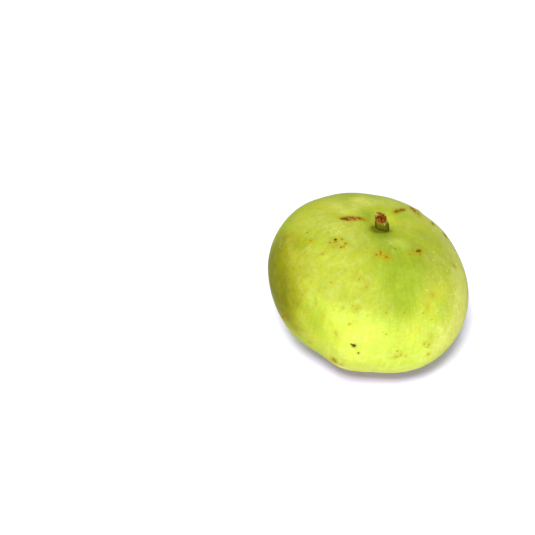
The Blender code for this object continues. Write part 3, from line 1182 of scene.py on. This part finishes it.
    def spot(
        self, kind: Enum, middle: Vector, along: Vector, ray: Vector, size: Span, normal: Vector,
        strength: float,
    ) -> Spot:
        """Lays one mark, sized as it looks along a ray.

        Args:
            kind: What it is.
            middle: Its middle on the skin.
            along: The way that its length runs, square to the ray.
            ray: The ray that it is seen along.
            size: Its length and width in millimetres.
            normal: The skin's normal there.
            strength: How strong it is.

        Returns:
            The laid mark.
        """
        half_long, half_wide = (part * MM / 2.0 for part in size)
        depth = self.zone_depth_mm * MM
        if isinstance(kind, MarkKind):
            depth = max(half_long, half_wide) / max(abs(ray.dot(normal)), self.least_facing)
        return Spot(kind, middle, along, ray, half_long, half_wide, depth, strength)

    def refine(self, skin: bpy.types.Object, spots: list[Spot]) -> None:
        """Splits the skin's faces under the marks.

        Args:
            skin: The skin.
            spots: The marks.
        """
        for _ in range(self.refine_passes):
            centres = np.zeros((len(skin.data.polygons), 3))
            skin.data.polygons.foreach_get("center", centres.ravel())
            chosen = np.zeros(len(centres), bool)
            for spot in spots:
                chosen |= spot.distance(centres) < self.refine_reach
            pick_faces(skin, chosen)
            bpy.ops.mesh.subdivide(number_cuts=1)
            bpy.ops.object.mode_set(mode="OBJECT")

    def shape(self, skin: bpy.types.Object, spots: list[Spot]) -> None:
        """Moves the skin's vertices for its relief, and keeps its marks as attributes.

        Args:
            skin: The skin.
            spots: The marks and zones.
        """
        mesh = skin.data
        places = vertex_array(mesh)
        normals = vertex_array(mesh, "normal")
        fields = self.fields(places, spots)
        rel = places - np.array(self.top)
        along = rel @ np.array(self.axis)
        off_axis = np.sqrt(np.maximum((rel ** 2).sum(1) - along ** 2, 0.0))
        near_top = (places @ np.array(self.axis)) > float(self.centre @ self.axis)
        # Painted shade all round the stem's foot, on every side of it.
        shade_round_stem = near_top * bell(off_axis, self.stem_shade_reach_mm * MM)
        fields[ZoneKind.STEM_SHADE] += shade_round_stem * self.stem_shade_strength
        downward = (-normals[:, 2] - self.under_start) / (1.0 - self.under_start)
        fields[ZoneKind.UNDER] += np.clip(downward, 0.0, 1.0)
        for kind in (*MarkKind, *ZoneKind):
            write_attribute(mesh, kind.value, fields[kind])

        offset = fields[ZoneKind.RISE] * MM
        for k, (size_mm, height_mm) in enumerate(self.swell_mm):
            offset += smooth_noise(places, size_mm, 3.0 + k) * height_mm * MM
        inside = {kind: np.clip(fields[kind], 0.0, 1.0) for kind in MarkKind}
        crumbs = smooth_noise(places, self.crumb_mm, 9.0)
        cork = np.clip(inside[MarkKind.CORK] * self.cork_steepness, 0.0, 1.0)
        offset += cork * (0.7 + 0.6 * crumbs) * self.cork_height_mm * MM
        offset -= inside[MarkKind.SEAM] * self.seam_depth_mm * MM
        offset -= inside[MarkKind.TAN] * self.tan_depth_mm * MM
        offset -= np.clip(inside[MarkKind.PIT] * self.pit_steepness, 0.0, 1.0) * self.pit_depth_mm * MM
        offset -= inside[MarkKind.GREEN_DOT] * self.dot_depth_mm * MM
        offset -= near_top * bell(off_axis, self.funnel_radius_mm * MM) * self.funnel_mm * MM
        standing = np.clip(places[:, 2] / (self.level_foot_mm * MM), 0.0, 1.0)
        write_places(mesh, places + normals * (offset * standing)[:, None])

    @staticmethod
    def fields(places: np.ndarray, spots: list[Spot]) -> dict[Enum, np.ndarray]:
        """Works out each kind's strength at each vertex.

        Args:
            places: The vertices' places.
            spots: The marks and zones.

        Returns:
            For each kind of mark a cone from 1 in its middle, 0 at its edge and -1 outside; for
            each kind of zone a sum of bells.
        """
        made = {kind: np.full(len(places), -1.0) for kind in MarkKind}
        made.update({kind: np.zeros(len(places)) for kind in ZoneKind})
        for spot in spots:
            far = spot.distance(places)
            if isinstance(spot.kind, MarkKind):
                cone = np.maximum(spot.strength * (1.0 - far), -1.0)
                made[spot.kind] = np.maximum(made[spot.kind], cone)
            else:
                made[spot.kind] += spot.strength * np.exp(-far * far)
        return made


@dataclass
class Stalk:
    """The cut stem: a ribbed stalk with a torn, cupped top, and the fibres that stand at it.

    Each step of the crown is an inset, as a share of the top's radius, and its lift in millimetres.
    """

    sides: int = 96
    steps: int = 24
    sink_mm: float = 1.6
    trim_mm: float = 1.40
    foot_radius_mm: float = 2.75
    neck_radius_mm: float = 2.35
    top_radius_mm: float = 1.85
    flare_mm: float = 0.9
    ribs: int = 5
    rib_depth: float = 0.04
    ribs_from: float = 1.0 / 3.0
    flats: int = 4
    flat_depth: float = 0.085
    shift_mm: float = -0.32
    flats_to: float = 0.7
    twist: float = 0.6
    core: float = 0.8
    strand_mm: float = 0.42
    fine_strand_mm: float = 0.2
    strand_stretch: float = 0.16
    strand_level: float = 0.6
    strand_depth: float = 0.10
    torn_from: float = 0.45
    tear_mm: float = 0.55
    tear_turn: float = 2.4
    slant: float = 0.14
    crown: tuple[Span, ...] = ((0.12, 0.08), (0.22, 0.06), (0.30, -0.06), (0.28, -0.30))
    notch_angle: float = -2.45
    notch_width: float = 0.30
    notch_rise: float = 0.86
    notch_reach: float = 0.16
    notch_depth: float = 0.22
    tip_angle: float = 2.9
    tip_width: float = 0.42
    tip_reach: float = 0.08
    fibres: int = 46
    fibre_length_mm: float = 2.2
    fibre_width_mm: float = 0.30
    fibre_flatness: float = 0.5
    fibre_lengths: Span = (0.45, 1.0)
    fibre_widths: Span = (0.6, 1.2)
    fibre_rises: Span = (0.68, 0.98)
    fibre_outs: Span = (0.97, 1.06)
    fibre_leans: Span = (-0.10, 0.22)
    fibre_tilt: float = 0.16
    fibre_sink: float = 0.55
    seed: int = 5

    def build(self, axis: Vector) -> None:
        """Makes the stalk and its fibres.

        Args:
            axis: The fruit's axis, which the foot stands square to.
        """
        self.find_line(axis)
        dress(self.build_stalk(), StalkFinish().material(), "stem")
        finish = DryFinish("torn_fibre", (0.31, 0.110, 0.012), (0.075, 0.020, 0.001), 0.9)
        dress(self.build_fibres(), finish.material(), "stem")

    def find_line(self, axis: Vector) -> None:
        """Works out the stalk's middle line from the two ends of the CAD stem.

        Args:
            axis: The fruit's axis.
        """
        self.axis = axis
        shift = Vector((self.shift_mm * MM, 0.0, 0.0))
        self.foot = self.end_middle(-1.0) + shift
        head = self.end_middle(1.0) + shift
        self.line = (head - self.foot).normalized()
        self.height = (head - self.foot).length - self.trim_mm * MM

    @staticmethod
    def end_middle(way: float) -> Vector:
        """The middle of one end of the CAD stem.

        Args:
            way: 1.0 for its head, -1.0 for its foot.

        Returns:
            The middle of the faces that look that way.
        """
        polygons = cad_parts["stem"].data.polygons
        faces = [face for face in polygons if face.normal.z * way > FACES_ALONG]
        total = sum(face.area for face in faces)
        return sum((face.center * face.area for face in faces), Vector()) / total

    def radius(self, rise: float) -> float:
        """The stalk's radius at a height.

        Args:
            rise: The height over the foot, in metres.

        Returns:
            The radius, in metres.
        """
        straight = self.neck_radius_mm + (self.top_radius_mm - self.neck_radius_mm) * rise / self.height
        flare = (self.foot_radius_mm - self.neck_radius_mm) * bell(rise, self.flare_mm * MM)
        return (straight + flare) * MM

    def build_stalk(self) -> bpy.types.Object:
        """Makes the stalk by drawing a disc up ring by ring.

        Returns:
            The stalk.
        """
        bpy.ops.object.select_all(action="DESELECT")
        bottom = -self.sink_mm * MM
        radius = self.radius(0.0)
        bpy.ops.mesh.primitive_circle_add(
            vertices=self.sides, radius=radius, fill_type="NGON", location=(0.0, 0.0, bottom),
        )
        stalk = bpy.context.object
        stalk.name = "stem_stalk"
        apply_place(stalk)
        open_mesh(stalk)
        step = (self.height - bottom) / self.steps
        rise = bottom
        for _ in range(self.steps):
            rise += step
            wanted = self.radius(max(rise, 0.0))
            bpy.ops.mesh.extrude_region_move(TRANSFORM_OT_translate={"value": (0.0, 0.0, step)})
            scale = wanted / radius
            bpy.ops.transform.resize(value=(scale, scale, 1.0))
            radius = wanted
        for share, lift_mm in self.crown:
            bpy.ops.mesh.inset(thickness=share * self.top_radius_mm * MM)
            bpy.ops.transform.translate(value=(0.0, 0.0, lift_mm * MM))
        bpy.ops.mesh.poke()
        bpy.ops.mesh.select_all(action="SELECT")
        bpy.ops.mesh.normals_make_consistent(inside=False)
        bpy.ops.object.mode_set(mode="OBJECT")
        subdivide_smooth(stalk, 1)
        self.work_surface(stalk)
        return stalk

    def work_surface(self, stalk: bpy.types.Object) -> None:
        """Gives the upright stalk its ribs, its torn top and its place.

        Args:
            stalk: The stalk, upright at the origin.
        """
        mesh = stalk.data
        x, y, z = vertex_array(mesh).T
        top_radius = self.top_radius_mm * MM
        rise = np.clip(z / self.height, 0.0, 1.2)
        angle = np.arctan2(y, x)
        side = np.clip(np.hypot(x, y) / (self.core * top_radius), 0.0, 1.0)
        ring = np.stack([np.cos(angle), np.sin(angle), rise * self.strand_stretch], 1) * top_radius
        fine = smooth_noise(ring, self.fine_strand_mm, 8.0)
        strand = np.clip(0.5 + smooth_noise(ring, self.strand_mm, 4.0) + 0.4 * fine, 0.0, 1.0)
        upper = np.clip((rise - self.torn_from) / self.torn_from, 0.0, 1.0)
        ribbed = np.clip(rise / self.ribs_from, 0.0, 1.0)
        rib = 1.0 + self.rib_depth * ribbed * np.cos(self.ribs * angle + self.twist * rise)
        flat = np.clip(1.0 - rise / self.flats_to, 0.0, 1.0)
        rib -= self.flat_depth * flat * np.cos(self.flats * angle)
        rib += self.strand_depth * (strand - self.strand_level) * (0.15 + 0.85 * upper) * side
        notch = self.near_angle(angle, self.notch_angle, self.notch_width)
        notch *= bell(rise - self.notch_rise, self.notch_reach)
        rib -= self.notch_depth * notch * side
        tear = (strand - self.strand_level) * 1.2 + 0.5 * np.sin(2.0 * angle + self.tear_turn) - 0.3
        lift = tear * self.tear_mm * MM * upper ** 2 * side - self.slant * x * upper
        tip = self.near_angle(angle, self.tip_angle, self.tip_width)
        tip *= bell(rise - 1.0, self.tip_reach) * side
        write_attribute(mesh, "rise", rise)
        write_attribute(mesh, "strand", strand - 0.5 * notch)
        write_attribute(mesh, "tip", np.clip(tip * 1.4 * (strand > 0.35), 0.0, 1.0))
        write_places(mesh, self.stand(np.stack([x * rib, y * rib, z + lift], 1)))

    @staticmethod
    def near_angle(angle: np.ndarray, middle: float, width: float) -> np.ndarray:
        """A bell curve round an angle, in radians."""
        return bell(np.angle(np.exp(1j * (angle - middle))), width)

    def stand(self, places: np.ndarray) -> np.ndarray:
        """Moves places from the upright stalk's frame to where it grows.

        Args:
            places: Rows of places, the foot at the origin.

        Returns:
            The rows where the stalk grows.
        """
        side = Vector((0.0, 1.0, 0.0)).cross(self.axis).normalized()
        ways = np.array([side, self.axis.cross(side), self.line])
        return np.array(self.foot) + places @ ways

    def build_fibres(self) -> bpy.types.Object:
        """Makes one fibre and copies it round the torn top.

        Returns:
            All the fibres as one piece.
        """
        draw = random.Random(self.seed)
        copies = []
        for k in range(self.fibres):
            length = self.fibre_length_mm * draw.uniform(*self.fibre_lengths)
            width = self.fibre_width_mm * draw.uniform(*self.fibre_widths)
            fibre = build_sliver(length, width, self.fibre_flatness, draw)
            angle = 2.0 * math.pi * (k + draw.uniform(-0.4, 0.4)) / self.fibres
            rise = self.height * draw.uniform(*self.fibre_rises)
            out = self.radius(rise) * draw.uniform(*self.fibre_outs)
            place = Matrix.Translation((out, 0.0, rise - self.fibre_sink * length * MM))
            tilt = Matrix.Rotation(draw.gauss(0.0, self.fibre_tilt), 4, "X")
            lean = Matrix.Rotation(draw.uniform(*self.fibre_leans), 4, "Y")
            fibre.data.transform(Matrix.Rotation(angle, 4, "Z") @ place @ tilt @ lean)
            write_places(fibre.data, self.stand(vertex_array(fibre.data)))
            copies.append(fibre)
        return join_all(copies, "stem_fibres")


@dataclass
class BlossomEnd:
    """The dry flower remnant beneath: a lumpy crust, with flat dry scraps lying out from its middle.

    Each of the lumps is its size and seed, and its height, in millimetres.
    """

    lumps: tuple[tuple[Span, float], ...] = (((0.7, 2.0), 0.10), ((0.3, 6.0), 0.05))
    scraps: int = 15
    scrap_mm: Span = (0.9, 1.7)
    scrap_width_mm: float = 0.55
    scrap_widths: Span = (0.6, 1.2)
    scrap_flatness: float = 0.3
    spread_mm: Span = (0.2, 0.9)
    least_height_mm: float = 0.03
    seed: int = 3

    def build(self) -> None:
        """Makes the crust and its scraps."""
        crust = smooth_copy("blossom_scar", "blossom_crust")
        places = vertex_array(crust.data)
        normals = vertex_array(crust.data, "normal")
        down = np.clip(-normals[:, 2], 0.0, 1.0)
        lumps = sum(smooth_noise(places, *lump) * height_mm for lump, height_mm in self.lumps)
        write_places(crust.data, places + normals * (lumps * down * MM)[:, None])
        finish = DryFinish("blossom_crust", (0.20, 0.10, 0.035), (0.016, 0.010, 0.006), 0.7)
        dress(crust, finish.material(), "blossom_scar")
        finish = DryFinish("dry_scrap", (0.34, 0.20, 0.08), (0.07, 0.035, 0.014), 0.6)
        dress(self.build_scraps(crust), finish.material(), "blossom_scar")

    def build_scraps(self, crust: bpy.types.Object) -> bpy.types.Object:
        """Lays dry scraps of the flower on the crust's underside, pointing outward.

        Args:
            crust: The crust.

        Returns:
            All the scraps as one piece.
        """
        tree = BVHTree.FromObject(crust, bpy.context.evaluated_depsgraph_get())
        low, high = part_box("blossom_scar")
        middle = (low + high) / 2.0
        draw = random.Random(self.seed)
        copies = []
        for k in range(self.scraps):
            length = draw.uniform(*self.scrap_mm)
            width = self.scrap_width_mm * draw.uniform(*self.scrap_widths)
            scrap = build_sliver(length, width, self.scrap_flatness, draw)
            angle = 2.0 * math.pi * (k + draw.uniform(-0.3, 0.3)) / self.scraps
            scrap.data.transform(Matrix.Rotation(math.pi / 2.0, 4, "Y"))
            out = Matrix.Translation((draw.uniform(*self.spread_mm) * MM, 0.0, 0.0))
            scrap.data.transform(Matrix.Rotation(angle, 4, "Z") @ out)
            scrap.data.transform(Matrix.Translation((middle.x, middle.y, 0.0)))
            places = vertex_array(scrap.data)
            for place in places:
                hit = tree.ray_cast(Vector((place[0], place[1], -MM)), Vector((0.0, 0.0, 1.0)))[0]
                place[2] += low.z if hit is None else hit.z
            places[:, 2] = np.maximum(places[:, 2], self.least_height_mm * MM)
            write_places(scrap.data, places)
            copies.append(scrap)
        return join_all(copies, "blossom_scraps")


@dataclass(frozen=True)
class Softbox:
    """A square softbox that looks at the fruit."""

    name: str
    azimuth: float
    elevation: float
    size: float
    power: float
    distance: float = 1.3
    aim_height: float = 0.03

    def build(self) -> None:
        """Makes the light."""
        azimuth = math.radians(self.azimuth)
        elevation = math.radians(self.elevation)
        level = math.cos(elevation)
        way = Vector((math.sin(azimuth) * level, -math.cos(azimuth) * level, math.sin(elevation)))
        turn = (-way).to_track_quat("-Z", "Y").to_euler()
        place = Vector((0.0, 0.0, self.aim_height)) + way * self.distance
        bpy.ops.object.light_add(type="AREA", location=place, rotation=turn)
        light = bpy.context.object
        light.name = self.name
        light.data.shape = "SQUARE"
        light.data.size = self.size
        light.data.energy = self.power


@dataclass
class Studio:
    """The plain white ground and the soft lights."""

    ground_size: float = 6.0
    room_light: float = 0.30
    room_lean: tuple[float, float, float] = (0.0, 0.9, 0.9)
    softboxes: tuple[Softbox, ...] = (
        Softbox("front_softbox", 0.0, 3.0, 0.40, 17.0),
        Softbox("upper_softbox", -15.5, 60.5, 0.30, 19.5),
    )

    def build(self) -> None:
        """Makes the ground, the world and the lights."""
        bpy.ops.object.select_all(action="DESELECT")
        bpy.ops.mesh.primitive_plane_add(size=self.ground_size, location=(0.0, 0.0, 0.0))
        ground = bpy.context.object
        ground.name = "ground"
        ground.data.materials.append(GroundFinish().material())
        self.build_world()
        for softbox in self.softboxes:
            softbox.build()
        bpy.context.scene.view_settings.view_transform = "Standard"

    def build_world(self) -> None:
        """Makes the room's soft light, brighter on one side, which the camera itself sees as white."""
        world = bpy.data.worlds.new("white_room")
        bpy.context.scene.world = world
        graph = Graph(world, "Background")
        way = graph.node("ShaderNodeTexCoord", {}, {}, "Generated")
        light = (graph.vector("DOT_PRODUCT", way, self.room_lean) + 1.0) * self.room_light
        seen = graph.node("ShaderNodeLightPath", {}, {}, "Is Camera Ray")
        graph.feed(graph.shader.inputs["Color"], (1.0, 1.0, 1.0))
        graph.feed(graph.shader.inputs["Strength"], graph.math("MAXIMUM", light, seen))


def main() -> None:
    """Builds the camera, the studio and the gourd."""
    logging.basicConfig(level=logging.INFO, format="%(name)s %(message)s")
    view = PhotoView()
    view.build()
    Studio().build()
    rind = Rind()
    rind.build(view)
    Stalk().build(rind.axis)
    BlossomEnd().build()


if __name__ == "__main__":
    main()
